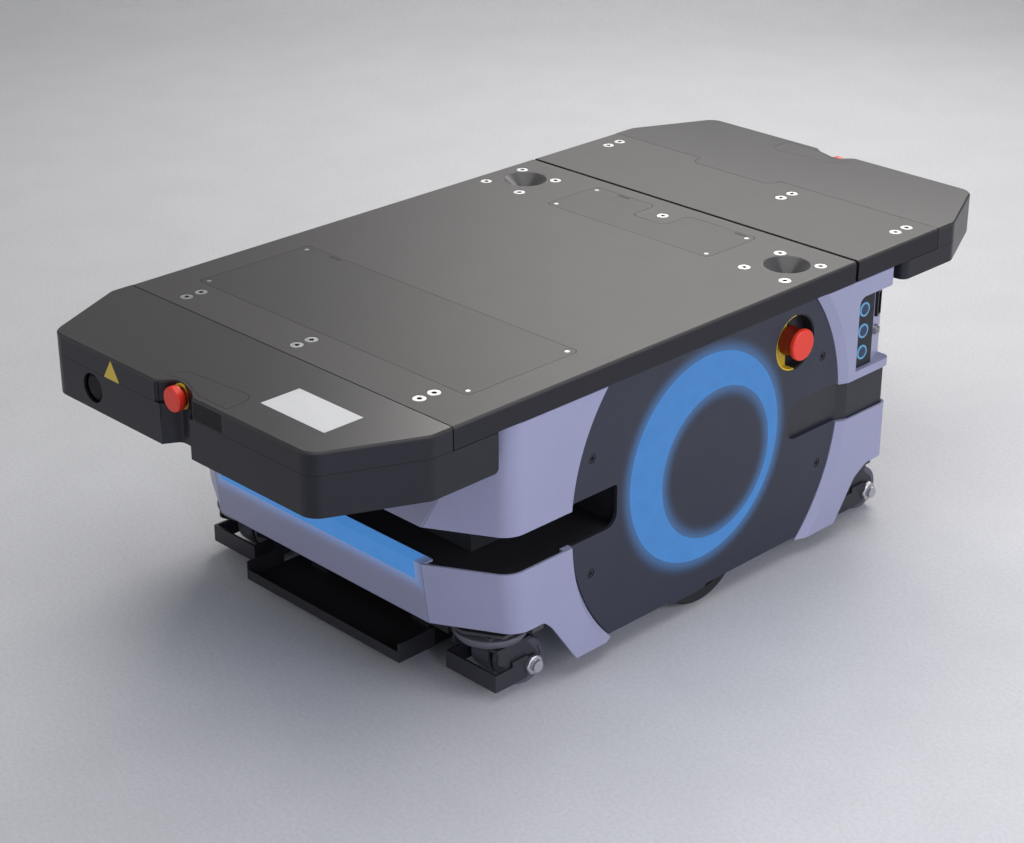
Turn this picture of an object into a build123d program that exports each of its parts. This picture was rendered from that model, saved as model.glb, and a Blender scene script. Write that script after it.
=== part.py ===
from build123d import *
from math import cos, pi, radians, sin, sqrt, tan
import os

# Low mobile robot with a lifting load deck.
# Millimetres. +Z up, the front faces -Y, +X is the robot's left side.
# Origin: on the floor, under the middle of the drive axle.

# ---- driving dimensions -------------------------------------------------
HALF_LENGTH = 743.0        # half of the overall length, over both end caps
DECK_HALF = 364.0          # half width of the deck and the end caps
DECK_TOP = 494.0           # height of the load surface
SKIRT = 35.0               # height of the deck's folded side
SKIRT_BOTTOM = DECK_TOP - SKIRT
PLATE = 6.0                # thickness of the deck sheets
RIM = 4.0                  # wall of the folded skirts and moulded covers

CAP_FRONT_END = -553.0     # joint between front cap and lifting deck
DECK_FRONT = -551.0
DECK_REAR = 325.0          # open joint behind the lifting deck
STRIP_FRONT = 332.0
STRIP_REAR = 545.2         # joint between fixed strip and rear cap
CAP_REAR_START = 546.2
CAP_CHAMFER_X = 292.0      # where the chamfer meets the end of a cap
CAP_CHAMFER_Y = 590.0      # where the chamfer leaves the side of a cap
FRONT_TRAY_BOTTOM = 397.0
REAR_TRAY_BOTTOM = 426.0
WING_END = -467.5          # rear end of the front tray's side wings

BODY_SIDE = 362.5          # half width over the light shells
PANEL_FACE = 355.0         # half width over the dark side panels
BODY_FRONT = -507.0
BODY_REAR = 439.0
SEAM = 244.0               # half width of the centre shells at the front
CORNER_Y = -440.4          # where the angled front corner reaches the side
CORNER_RADIUS = 40.0
REAR_RADIUS = 14.0
SLOT_LOW = 221.5           # scanner slot, lower edge
SLOT_HIGH = 282.0          # scanner slot, upper edge
STRIP_HALF = 227.0         # half width of the front light strip
STRIP_DROP = 31.0          # how far the strip reaches down from the slot
LOWER_END = 120.0          # bottom edge of the lower shells
TOE = 31.0                 # lowest point of the shell toes
LOWER_LEAN = 24.5          # lean of the lower front from slot to toe height
UPPER_LEAN = 47.0          # lean of the upper front from slot to deck

DISC_Y = -2.5              # centre and radius of the round side panels
DISC_Z = 254.5
DISC_R = 312.0
PANEL_BOTTOM = 37.5
PANEL_TOP = 455.0

WHEEL_R = 100.0            # drive wheels
WHEEL_Y = -2.5
WHEEL_WIDTH = 50.0
WHEEL_OUT = 343.0

CASTER_X = 281.0           # swivel axes
CASTER_Y = 405.0
CASTER_R = 37.5
TRAIL = 35.0
CASTER_TOP = 104.0
CROWN_TOP = 98.5
KINGPIN_R = 8.0
CASTERS = {
    "front_left": (CASTER_X, -CASTER_Y), "front_right": (-CASTER_X, -CASTER_Y),
    "rear_left": (CASTER_X, CASTER_Y), "rear_right": (-CASTER_X, CASTER_Y),
}

COLUMN_X = 150.0
COLUMN_FRONT = -330.0
COLUMN_REAR = 230.0
ROD_R = 12.5
ACTUATOR_Y = -52.0

CUP_X = 293.0              # locating cups in the deck
CUP_Y = 237.5
CUP_R = 39.5
CUP_DEPTH = 23.0
SCREW_HEAD = 10.5          # radius of the countersunk screw heads
STOP_Y = 190.5             # emergency stops on the side panels
STOP_Z = 393.0
BUTTON_Y = 366.5
BUTTON_Z = (399.0, 361.5, 324.0)
BUTTON_R = 9.0
FIT = 0.05                 # radial running clearance
GAP = 0.4                  # gap between neighbouring covers

os.makedirs("parts", exist_ok=True)


# ---- helpers --------------------------------------------------------------
def block(x0, x1, y0, y1, z0, z1):
    centre = Pos((x0 + x1) / 2, (y0 + y1) / 2, (z0 + z1) / 2)
    return centre * Box(x1 - x0, y1 - y0, z1 - z0)


def rod_z(radius, x, y, z0, z1):
    return Pos(x, y, (z0 + z1) / 2) * Cylinder(radius, z1 - z0)


def rod_x(radius, x0, x1, y, z):
    return Pos((x0 + x1) / 2, y, z) * Rot(0, 90, 0) * Cylinder(radius, x1 - x0)


def rod_y(radius, x, y0, y1, z):
    return Pos(x, (y0 + y1) / 2, z) * Rot(90, 0, 0) * Cylinder(radius, y1 - y0)


def outline(points, radii):
    return make_face(FilletPolyline(*points, radius=radii, close=True))


def plan(points, radii, z0, z1):
    """Closed outline seen from above, extruded from z0 up to z1."""
    return extrude(Pos(0, 0, z0) * outline(points, radii), z1 - z0)


def profile(points, radii, x0, x1):
    """Closed outline of (y, z) points, extruded from x0 out to x1."""
    return extrude(Plane.YZ.offset(x0) * outline(points, radii), x1 - x0)


def section(points, radii, y0, y1):
    """Closed outline of (x, z) points, extruded from y1 forward to y0."""
    return extrude(Plane.XZ.offset(-y1) * outline(points, radii), y1 - y0)


def flip(shape):
    return mirror(shape, about=Plane.YZ)


def turn_about_z(shape, angle, x, y):
    return Pos(x, y, 0) * Rot(0, 0, angle) * Pos(-x, -y, 0) * shape


def group(shapes):
    return Compound(children=[solid for shape in shapes for solid in shape.solids()])


def save(name, shape):
    export_step(shape, "parts/" + name + ".step")


def side_edges_top(shape, x, z, tolerance=0.1):
    """Long edges along Y at a given half width and height."""
    return [e for e in shape.edges().filter_by(Axis.Y)
            if abs(abs(e.center().X) - x) < tolerance and abs(e.center().Z - z) < tolerance]


# ---- body outline ----------------------------------------------------------
FRONT_TURN = radians(29.3)
SEAM_SHIFT = tan(FRONT_TURN / 2)
CORNER_SHIFT = tan((pi / 2 - FRONT_TURN) / 2)
CORNER_SLOPE = (BODY_SIDE - SEAM) / (CORNER_Y - BODY_FRONT)


def body_face(inset, lean, carry_seam, z):
    """Plan of the body; lean moves the front back, carry_seam spreads the fold."""
    front = BODY_FRONT + inset + lean
    seam = SEAM - inset * SEAM_SHIFT + carry_seam * lean * CORNER_SLOPE
    side = BODY_SIDE - inset
    corner = CORNER_Y + inset * CORNER_SHIFT + (1 - carry_seam) * lean
    rear = BODY_REAR - inset
    right = [(-seam, front), (seam, front), (side, corner), (side, rear)]
    left = [(-side, rear), (-side, corner)]
    rear_r = max(REAR_RADIUS - inset, 2)
    radii = [0, 0, CORNER_RADIUS - inset, rear_r, rear_r, CORNER_RADIUS - inset]
    return Pos(0, 0, z) * outline(right + left, radii)


def lower_block(inset):
    """Solid inside the lower shells, from the slot down past the toes."""
    depth = 10.0
    drop = (SLOT_LOW - TOE + depth) / (SLOT_LOW - TOE)
    top = body_face(inset, 0, 0, SLOT_LOW)
    low = body_face(inset, LOWER_LEAN * drop, 0, TOE - depth)
    return loft([low, top], ruled=True)


def upper_block(inset):
    """Solid inside the upper shells, from the slot up to the deck skirt."""
    low = body_face(inset, 0, 1, SLOT_HIGH)
    top = body_face(inset, UPPER_LEAN, 1, SKIRT_BOTTOM - 2)
    return loft([low, top], ruled=True)


def disc_cut(shift_y, shift_z, wider):
    """Round hole for the side panel with a bevel that opens to the outside."""
    inner = Plane.YZ.offset(PANEL_FACE) * Pos(DISC_Y, DISC_Z) * Circle(DISC_R + 2)
    outer = (Plane.YZ.offset(BODY_SIDE + 0.5)
             * Pos(DISC_Y + shift_y, DISC_Z + shift_z) * Circle(DISC_R + 2 + wider))
    bevel = loft([inner, outer], ruled=True)
    bore = rod_x(DISC_R + 2, PANEL_FACE - 60, PANEL_FACE + 0.01, DISC_Y, DISC_Z)
    return bore + bevel


lower_wall = lower_block(0) - lower_block(RIM)
upper_wall = upper_block(0) - upper_block(RIM)


# ---- fixed frame ------------------------------------------------------------
WALL_X = 194.0             # outer face of the frame's side walls
FLOOR_LOW = 46.0
FLOOR_TOP = 50.0
WALL_TOP = 430.0
RAIL_TOP = 452.0
FRAME_FRONT = -410.0
FRAME_REAR = 404.0
SHOULDER_IN = -310.0       # inner end of the caster shoulders, front
SHOULDER_TOP = CASTER_TOP + 5
SHEET = 4.0
RAIL_IN, RAIL_OUT = 180.0, 220.0


def panel_screw_places():
    return [(-271.0, 348.0), (-270.0, 158.7), (262.7, 348.0), (264.7, 157.7)]


def frame_side():
    """Plates, posts and rail on the left of the welded frame."""
    wall = block(WALL_X - SHEET, WALL_X, FRAME_FRONT + SHEET, FRAME_REAR - SHEET,
                 FLOOR_TOP, WALL_TOP)
    wall -= rod_x(26, WALL_X - 10, WALL_X + 10, WHEEL_Y, WHEEL_R)
    for y in (-210.0, 150.0):
        window = [(y - 40, 260), (y + 40, 260), (y + 40, 390), (y - 40, 390)]
        wall -= profile(window, [15] * 4, WALL_X - 10, WALL_X + 10)
    shoulder = block(WALL_X, 336, -462, SHOULDER_IN, CASTER_TOP, SHOULDER_TOP)
    pieces = [
        wall,
        shoulder & lower_block(2 * RIM),
        block(WALL_X, 336, -SHOULDER_IN, 420, CASTER_TOP, SHOULDER_TOP),
        block(WALL_X, 330, SHOULDER_IN - SHEET, SHOULDER_IN, SHOULDER_TOP, 150),
        block(WALL_X, 330, -SHOULDER_IN, SHEET - SHOULDER_IN, SHOULDER_TOP, 150),
        block(318, 358.5, -395, -372, SHOULDER_TOP, 200),
        block(318, 358.5, 385, 410, SHOULDER_TOP, 200),
        block(WALL_X, 358.5, -400, -380, 380, 400),
        block(WALL_X, 350, 312, 328, 306, 326),
    ]
    for y, z in panel_screw_places():
        pieces.append(rod_x(9, WALL_X, PANEL_FACE - 6, y, z))
    rail = block(RAIL_IN, RAIL_OUT, -700, 700, WALL_TOP, RAIL_TOP)
    rail -= block(RAIL_IN + 3, RAIL_OUT - 3, -701, 701, WALL_TOP + 3, RAIL_TOP - 3)
    return pieces + [rail]


def chassis_frame():
    """Welded frame: tub, shoulders over the casters, rails and end beams."""
    left = frame_side()
    frame = left + [flip(piece) for piece in left]
    frame.append(block(-WALL_X, WALL_X, FRAME_FRONT, FRAME_REAR, FLOOR_LOW, FLOOR_TOP))
    frame.append(block(-WALL_X, WALL_X, FRAME_FRONT, FRAME_FRONT + SHEET, FLOOR_TOP, WALL_TOP))
    frame.append(block(-WALL_X, WALL_X, FRAME_REAR - SHEET, FRAME_REAR, FLOOR_TOP, WALL_TOP))
    for beam_y in (-640.0, 640.0):
        frame.append(block(-RAIL_IN, RAIL_IN, beam_y - 15, beam_y + 15, WALL_TOP, RAIL_TOP))
    for x in (-120, 100):
        frame.append(block(x, x + 20, -655, -625, FRONT_TRAY_BOTTOM + RIM, WALL_TOP))
    bracket_low = block(-150, 150, -500, FRAME_FRONT, 150, 154)
    frame.append(bracket_low & lower_block(RIM))
    bracket_high = block(-150, 150, -500, FRAME_FRONT, 340, 344)
    frame.append(bracket_high & upper_block(RIM))
    for x, y in CASTERS.values():
        frame.append(block(x - 40, x + 40, y - 40, y + 40, CROWN_TOP + 0.5, CASTER_TOP))
    for x, y in CASTERS.values():
        frame = [piece - rod_z(KINGPIN_R + FIT, x, y, 90, 120) for piece in frame]
    return group(frame + strip_beam())


# ---- side panels, rings and side stops ---------------------------------------
RING_Y, RING_Z, RING_R = -16.0, 262.7, 171.6
RING_IN_Y, RING_IN_Z, RING_IN_R = 9.5, 246.1, 124.8
RING_DEPTH = 3.0
SLOT_END = -215.5
RECESS_START = 182.6
RECESS_END = 311.0
STOP_POCKET = 46.5
PANEL_SINK_R = 7.6


def ring_shape(x0, x1, grow):
    outer = rod_x(RING_R + grow, x0, x1, RING_Y, RING_Z)
    inner = rod_x(RING_IN_R - grow, x0 - 1, x1 + 1, RING_IN_Y, RING_IN_Z)
    return outer - inner


def side_panel():
    disc = rod_x(DISC_R, PANEL_FACE - 6, PANEL_FACE, DISC_Y, DISC_Z)
    reach = DISC_R + 5
    disc &= block(300, 400, DISC_Y - reach, DISC_Y + reach, PANEL_BOTTOM, PANEL_TOP)
    tongue = [(-95, 60), (-86, TOE), (-6, TOE), (6, 60)]
    disc += profile(tongue, [0, 6, 6, 0], PANEL_FACE - 6, PANEL_FACE)
    slot = [(-420, 220), (SLOT_END, 220), (SLOT_END, 288), (-420, 288)]
    disc -= profile(slot, [0, 22, 6, 0], PANEL_FACE - 20, PANEL_FACE + 5)
    recess = [(RECESS_START, 222), (420, 222), (420, 288), (RECESS_START, 288)]
    disc -= profile(recess, [20, 0, 0, 20], PANEL_FACE - 20, PANEL_FACE + 5)
    disc -= ring_shape(PANEL_FACE - RING_DEPTH, PANEL_FACE + 2, 0.3)
    disc -= rod_x(STOP_POCKET + 0.3, 300, 400, STOP_Y, STOP_Z)
    for y, z in panel_screw_places():
        disc -= rod_x(PANEL_SINK_R, PANEL_FACE - 2.5, PANEL_FACE + 2, y, z)
        disc -= rod_x(3.2, 300, PANEL_FACE + 2, y, z)
    rim = [e for e in disc.edges().filter_by(GeomType.CIRCLE)
           if abs(e.radius - DISC_R) < 0.5 and abs(e.center().X - PANEL_FACE) < 0.1]
    return chamfer(rim, 1.2)


def panel_screws_one_side():
    screws = []
    for y, z in panel_screw_places():
        head = rod_x(PANEL_SINK_R - 0.7, PANEL_FACE - 2.5, PANEL_FACE - 0.6, y, z)
        hexagon = Pos(y, z) * RegularPolygon(3.2, 6)
        screws.append(head - extrude(Plane.YZ.offset(PANEL_FACE - 2) * hexagon, 3))
    return screws


def stop_collar(radius, inner, bore, depth, step):
    """Cup round a mushroom head, face at z = 0, open towards +Z."""
    down = (Align.CENTER, Align.CENTER, Align.MAX)
    cup = Cylinder(radius, depth, align=down)
    hollow = Cylinder(inner, depth - RIM, align=down)
    step_down = Cylinder(radius - 1.5, step, align=down)
    return cup - hollow - step_down - Cylinder(bore, 4 * depth)


def stop_head(radius, thick, stem, length):
    """Mushroom head with its face at z = 0, on a stem along -Z."""
    pen = [(0, 0), (radius, 0), (radius, -thick), (stem, -thick), (stem, -length), (0, -length)]
    half = Plane.XZ * outline(pen, [0, 3, 2, 0, 0, 0])
    return revolve(half, Axis.Z)


def side_stop_head():
    """Mushroom head on a flared neck, face at z = 0, with its stem along -Z."""
    pen = [(0, 0), (SIDE_HEAD_R, 0), (SIDE_HEAD_R, -8), (NECK_IN_R, -9), (NECK_OUT_R, -30),
           (STEM_R, -30), (STEM_R, -48), (0, -48)]
    half = Plane.XZ * outline(pen, [0, 3, 2, 1, 1, 0, 0, 0])
    return revolve(half, Axis.Z)


SIDE_STOP_FACE = 372.0
SIDE_COLLAR_FACE = PANEL_FACE - 1.0


def to_left(shape, x):
    """Stand a +Z part on the left side, with its axis along +X."""
    return Pos(x, STOP_Y, STOP_Z) * Rot(0, 90, 0) * shape


# ---- caps -------------------------------------------------------------------
def cap_outline(grow, start):
    """Plan points of a front end cap, from joint to nose; start is the joint."""
    side = DECK_HALF + grow
    nose = -HALF_LENGTH - grow
    points = [(side, start), (side, -CAP_CHAMFER_Y), (CAP_CHAMFER_X + grow * 0.6, nose)]
    return points + [(-x, y) for x, y in reversed(points)]


CAP_RADII = [0, 26, 30, 30, 26, 0]


def cap_solid(grow, start, z0, z1):
    inner = [r + grow for r in CAP_RADII]
    inner[0] = inner[-1] = 0
    return plan(cap_outline(grow, start), inner, z0, z1)


NOTCH = [(-46, -760), (-44, -741), (-36, -736), (-22, -720), (-5, -720), (26, -729),
         (43, -740), (44, -760)]
NOTCH_RADII = [0, 3, 4, 5, 5, 4, 3, 0]
CHANNEL = [(-34, -760), (-34, -742), (-20, -718), (10, -718), (34, -742), (34, -760)]
HEAD_X = -9.5
HEAD_Z = 472.5
HEAD_FACE = -740.5
CAP_COLLAR_R = 19.0
SEAM_Z = 459.5


def front_cap_upper():
    lid = cap_solid(0, CAP_FRONT_END, SEAM_Z + GAP, DECK_TOP)
    lid -= cap_solid(-RIM, CAP_FRONT_END + 1, SEAM_Z - 1, DECK_TOP - RIM)
    lid -= plan(NOTCH, NOTCH_RADII, SEAM_Z - 5, DECK_TOP + 5)
    back = [(-40, -716), (-40, -760), (40, -760), (40, -716)]
    wall = plan(back, [0, 0, 0, 0], SEAM_Z + GAP, DECK_TOP - RIM)
    wall -= plan(NOTCH, NOTCH_RADII, SEAM_Z - 5, DECK_TOP + 5)
    lid += wall & cap_solid(0, CAP_FRONT_END, SEAM_Z, DECK_TOP)
    lid -= rod_y(CAP_COLLAR_R + GAP, HEAD_X, -760, -600, HEAD_Z)
    top = DECK_TOP - 2.0
    lid -= block(SCREEN[0], SCREEN[1], SCREEN[2], SCREEN[3], top, DECK_TOP + 1)
    lid -= plan(HATCH, HATCH_RADII, top, DECK_TOP + 1)
    lid -= block(WINDOW[0], WINDOW[1], -760, -HALF_LENGTH + 2, WINDOW[2], WINDOW[3])
    rim = [e for e in lid.edges() if abs(e.center().Z - DECK_TOP) < 0.1
           and is_outer_cap_edge(e.center())]
    return chamfer(rim, 2.5)


def is_outer_cap_edge(point):
    """True on the sides and chamfers of a cap, away from notches and joints."""
    x, y = abs(point.X), abs(point.Y)
    slope = (CAP_CHAMFER_X - DECK_HALF) / (HALF_LENGTH - CAP_CHAMFER_Y)
    on_chamfer = abs(x - (DECK_HALF + slope * (y - CAP_CHAMFER_Y))) < 2.5
    on_side = abs(x - DECK_HALF) < 1.0
    return (on_chamfer or on_side) and y < HALF_LENGTH - 1.0 and x > 60


SCREEN = (122.5, 257.5, -686.5, -617.0)       # x0, x1, y0, y1
WINDOW = (45.0, 108.0, 462.0, 489.0)          # x0, x1, z0, z1
CAP_SENSOR_X, CAP_SENSOR_Z, CAP_SENSOR_R = -198.6, 431.6, 22.0
HATCH = [(-45, -722), (-45, -712), (-29, -691), (87, -680), (97, -684), (104, -694),
         (107, -732), (46, -732), (20, -724), (-8, -714), (-24, -714)]
HATCH_RADII = [2, 3, 4, 6, 4, 6, 3, 3, 3, 3, 3]


def front_cap_lower():
    tray = cap_solid(0, WING_END, FRONT_TRAY_BOTTOM, SEAM_Z)
    tray -= cap_solid(-RIM, WING_END + 1, FRONT_TRAY_BOTTOM + RIM, SEAM_Z + 1)
    behind = block(-400, 400, CAP_FRONT_END, -400, SKIRT_BOTTOM - 1, SEAM_Z + 1)
    tray -= behind
    clearance = extrude(body_face(-1.5, 0, 0, FRONT_TRAY_BOTTOM - 5), 80)
    tray -= clearance
    channel_wall = [(-40, -744), (-26, -712), (16, -712), (40, -744)]
    tray += plan(channel_wall, [0, 0, 0, 0], FRONT_TRAY_BOTTOM, SEAM_Z) & cap_solid(
        0, WING_END, FRONT_TRAY_BOTTOM, SEAM_Z)
    tray -= plan(CHANNEL, [0, 4, 12, 12, 4, 0], FRONT_TRAY_BOTTOM - 5, SEAM_Z + 5)
    tray -= rod_y(CAP_COLLAR_R + GAP, HEAD_X, -760, -600, HEAD_Z)
    tray -= rod_y(CAP_SENSOR_R + 1, CAP_SENSOR_X, -760, -700, CAP_SENSOR_Z)
    for side in (-1, 1):
        lower_rear = block(355 * side - 15, 355 * side + 15, WING_END - 8, WING_END + 1,
                           FRONT_TRAY_BOTTOM - 1, FRONT_TRAY_BOTTOM + 8)
        round_off = rod_x(8, 355 * side - 16, 355 * side + 16, WING_END - 8,
                          FRONT_TRAY_BOTTOM + 8)
        tray -= lower_rear - round_off
    return tray


def cap_sensors():
    """Round proximity sensor in the front tray's nose."""
    body = rod_y(CAP_SENSOR_R, CAP_SENSOR_X, -736, -712, CAP_SENSOR_Z)
    lens = rod_y(CAP_SENSOR_R - 5, CAP_SENSOR_X, -739, -736, CAP_SENSOR_Z)
    return body + lens


TAB = [(-154, 560), (-154, 530), (-143, 519), (14, 519), (27, 532), (27, 560)]
TAB_RADII = [0, 8, 6, 6, 8, 0]


def rear_outline(grow, start):
    return [(-x, -y) for x, y in cap_outline(grow, start)]


def rear_solid(grow, start, z0, z1, turn=0):
    inner = [r + grow for r in CAP_RADII]
    inner[0] = inner[-1] = max(turn + grow, 0)
    return plan(rear_outline(grow, -start), inner, z0, z1)


def rear_cap_upper():
    lid = rear_solid(0, CAP_REAR_START, SEAM_Z + GAP, DECK_TOP)
    lid -= rear_solid(-RIM, CAP_REAR_START - 1, SEAM_Z - 1, DECK_TOP - RIM)
    lid += plan(TAB, TAB_RADII, DECK_TOP - RIM, DECK_TOP) & block(
        -400, 400, 500, CAP_REAR_START, 0, 600)
    notch = [(-x, -y) for x, y in NOTCH]
    lid -= plan(notch, NOTCH_RADII, SEAM_Z - 5, DECK_TOP + 5)
    back = [(-40, 716), (-40, 760), (40, 760), (40, 716)]
    wall = plan(back, [0, 0, 0, 0], SEAM_Z + GAP, DECK_TOP - RIM)
    wall -= plan(notch, NOTCH_RADII, SEAM_Z - 5, DECK_TOP + 5)
    lid += wall & rear_solid(0, CAP_REAR_START, SEAM_Z, DECK_TOP)
    lid -= rod_y(CAP_COLLAR_R + GAP, -HEAD_X, 600, 760, HEAD_Z)
    lid -= plan([(-x, -y) for x, y in HATCH], HATCH_RADII, DECK_TOP - 2, DECK_TOP + 1)
    rim = [e for e in lid.edges() if abs(e.center().Z - DECK_TOP) < 0.1
           and is_outer_cap_edge(e.center())]
    return chamfer(rim, 2.5)


def rear_cap_lower():
    start, turn = BODY_REAR + 18, 14
    tray = rear_solid(0, start, REAR_TRAY_BOTTOM, SEAM_Z, turn)
    tray -= rear_solid(-RIM, start + RIM, REAR_TRAY_BOTTOM + RIM, SEAM_Z + 1, turn)
    rail_slot = block(RAIL_IN - 1, RAIL_OUT + 1, start - 1, start + RIM + 1, WALL_TOP, SEAM_Z)
    tray -= rail_slot
    tray -= flip(rail_slot)
    tray -= block(-400, 400, 300, CAP_REAR_START, SKIRT_BOTTOM - 1, SEAM_Z + 1)
    channel = [(-x, -y) for x, y in CHANNEL]
    channel_wall = [(-40, 744), (-26, 712), (16, 712), (40, 744)]
    tray += plan(channel_wall, [0, 0, 0, 0], REAR_TRAY_BOTTOM, SEAM_Z) & rear_solid(
        0, start, REAR_TRAY_BOTTOM, SEAM_Z)
    tray -= plan(channel, [0, 4, 12, 12, 4, 0], REAR_TRAY_BOTTOM - 5, SEAM_Z + 5)
    tray -= rod_y(CAP_COLLAR_R + GAP, -HEAD_X, 600, 760, HEAD_Z)
    return tray


# ---- light shells ------------------------------------------------------------
BAND_LOW = 216.0           # rear shells stop at the dark band
BAND_HIGH = 283.0
FRONT_COVER_TOP = 395.0
REAR_COVER_TOP = 425.0
REAR_SEAM = 240.0
POCKET = (344.5, 395.0, 352.0, 297.0, 426.0)   # y start, y fold, x floor, z low, z high
BACK_SLOPE = (334.0, 444.0)                    # where the pocket's back wall leaves the body
POCKET_TURN = 15.0                             # rounding of its upper front corner


def corner_halves(shape):
    """Left and right solids of a mirrored pair, as one group."""
    return group([shape, flip(shape)])


def rim_band(wider):
    """Thick edge that carries the bevel of a shell around the side panel."""
    ring = rod_x(DISC_R + wider + 9, PANEL_FACE - 5, BODY_SIDE, DISC_Y, DISC_Z)
    return ring - rod_x(DISC_R - 5, 300, 400, DISC_Y, DISC_Z)


def front_lower_corner():
    keep = [(-600, SLOT_LOW), (-200, SLOT_LOW), (-200, TOE), (-305, TOE), (-357, 104),
            (-374, LOWER_END), (-600, LOWER_END)]
    wall = lower_wall + (rim_band(10) & lower_block(0))
    side = wall & profile(keep, [0, 0, 0, 3, 14, 14, 0], SEAM + GAP, 400)
    return side - disc_cut(0, -18, 1.5)


def front_upper_corner():
    wall = upper_wall + (rim_band(2) & upper_block(0))
    side = wall & block(200, 400, -600, -60, SLOT_HIGH, SKIRT_BOTTOM)
    top = SKIRT_BOTTOM - 2
    reach = SEAM + UPPER_LEAN * CORNER_SLOPE
    middle = [(-SEAM - GAP, SLOT_HIGH - 5), (SEAM + GAP, SLOT_HIGH - 5),
              (reach + GAP, top + 5), (-reach - GAP, top + 5)]
    side -= section(middle, [0] * 4, -600, -380)
    return side - disc_cut(0, 0, 4)


def rear_lower_corner():
    keep = [(600, BAND_LOW), (200, BAND_LOW), (200, TOE), (313, TOE), (362, 100),
            (392, 117), (600, LOWER_END)]
    wall = lower_wall + (rim_band(18) & lower_block(0))
    side = wall & profile(keep, [0, 0, 0, 3, 20, 20, 0], REAR_SEAM, 400)
    return side - disc_cut(0, 0, 18)


def rear_upper_corner(with_pocket):
    wall = upper_wall + (rim_band(18) & upper_block(0))
    side = wall & block(REAR_SEAM, 400, 60, 500, BAND_HIGH, SKIRT_BOTTOM)
    side -= disc_cut(0, 0, 18)
    if not with_pocket:
        return side
    start, fold, floor, low, high = POCKET
    end_x, end_y = BACK_SLOPE
    liner = [(380, start - 3), (floor - 3, start - 3), (floor - 3, fold + 1), (end_x - 4, end_y),
             (end_x, 460), (380, 460)]
    side += plan(liner, [0] * 6, low - 3, high + 3) & upper_block(0)
    pocket = [(380, start), (floor, start), (floor, fold), (end_x, end_y), (end_x, 460), (380, 460)]
    side -= plan(pocket, [0, 3, 3, 0, 0, 0], low, high)
    for z in BUTTON_Z:
        side -= rod_x(7, floor - 10, floor + 10, BUTTON_Y, z)
    return around_pocket(side)


def around_pocket(side):
    """The corner as touching solids: ahead of the pocket, below, above, walls, rounding."""
    start, fold, floor, low, high = POCKET
    x0, x1, front, rear, bottom, top = 200, 400, 0, 500, 250, 500
    regions = [
        block(x0, x1, front, start - 3, bottom, top),
        block(x0, x1, start - 3, rear, bottom, low),
        block(x0, x1, start - 3, rear, high, top),
        block(x0, x1, start - 3, start, low, high),
        block(x0, x1, start, fold, low, high),
        block(x0, x1, fold, rear, low, high),
    ]
    turn_y, turn_z = start + POCKET_TURN, high - POCKET_TURN
    filler = block(floor, x1, start, turn_y, turn_z, high) - rod_x(POCKET_TURN, x0, x1, turn_y, turn_z)
    return group([side & region for region in regions] + [filler & upper_block(0)])


def front_lower_shell():
    wide = SEAM - GAP
    wall = lower_wall & block(-wide, wide, -600, -300, LOWER_END, SLOT_LOW)
    wall += block(-wide, wide, BODY_FRONT + 2, -484, SLOT_LOW - 3.5, SLOT_LOW)
    return wall - light_strip_shape(0.1)


def light_strip_shape(grow):
    """L-shaped diffuser over the top edge of the lower front shell."""
    half = STRIP_HALF + grow
    front = lower_block(-0.6) - lower_block(2.0 + grow)
    front &= block(-half, half, -520, -480, SLOT_LOW - STRIP_DROP - grow, SLOT_LOW)
    ledge = block(-half, half, BODY_FRONT - 0.6, -486 + grow, SLOT_LOW - 2 - grow, SLOT_LOW + 0.6)
    return front + ledge


def front_upper_shell():
    top = SKIRT_BOTTOM - 2
    reach = SEAM + UPPER_LEAN * CORNER_SLOPE
    middle = [(-SEAM + GAP, SLOT_HIGH - 5), (SEAM - GAP, SLOT_HIGH - 5),
              (reach - GAP, top + 5), (-reach + GAP, top + 5)]
    wall = upper_wall & section(middle, [0] * 4, -600, -380)
    return wall & block(-400, 400, -600, -300, SLOT_HIGH, FRONT_COVER_TOP)


def rear_centre_cover():
    wide = REAR_SEAM - GAP
    upper = upper_wall & block(-wide, wide, 300, 500, BAND_HIGH, REAR_COVER_TOP)
    lower = lower_wall & block(-wide, wide, 300, 500, LOWER_END, BAND_LOW)
    return group([upper, lower])


def rear_mid_band():
    low, high = BAND_LOW, BAND_HIGH
    outer = extrude(body_face(5.5, 0, 0, low), high - low)
    inner = extrude(body_face(9.5, 0, 0, low), high - low)
    band = (outer - inner) & block(-400, 400, 334, 500, low, high)
    facet = [(345, 308), (349, 308), (349, 312), (357, 332), (357, 336), (353, 336), (345, 314)]
    piece = plan(facet, [0] * 7, low, high)
    piece += block(345, 349, RECESS_START - 10, 312, low - 5, high + 10)
    return band + piece + flip(piece)


# ---- scanner slot ------------------------------------------------------------
BAY_X = 262.0
BAY_Y = -425.0
BAY_FLOOR = SLOT_LOW - 3.5
BAY_CEILING = 286.0
SCANNER_Y = -455.0


def scanner_bay():
    rear = SLOT_END + 8
    low, high = BAY_FLOOR - 4, BAY_CEILING + 4
    space = extrude(body_face(RIM + 0.3, 0, 0, low), high - low)
    space &= block(-400, 400, -600, rear, low, high)
    beside = block(PANEL_FACE - 6.1, 400, DISC_Y - DISC_R - 25, rear + 1, low - 1, high + 1)
    space -= beside
    space -= flip(beside)
    space -= block(3 - BAY_X, BAY_X - 3, BAY_Y + 3, rear + 1, low - 1, high + 1)
    opening = block(-400, 400, -600, rear - 3, BAY_FLOOR, BAY_CEILING)
    opening -= block(-BAY_X, BAY_X, BAY_Y, rear, BAY_FLOOR, BAY_CEILING)
    bay = space - opening
    lean_cut = upper_block(RIM + 0.3) + lower_block(RIM + 0.3) + block(
        -400, 400, -600, 0, SLOT_LOW - 1, SLOT_HIGH + 1)
    bay &= lean_cut
    return bay - rod_z(29.5, 0, SCANNER_Y, low - 1, BAY_FLOOR + 1)


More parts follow.
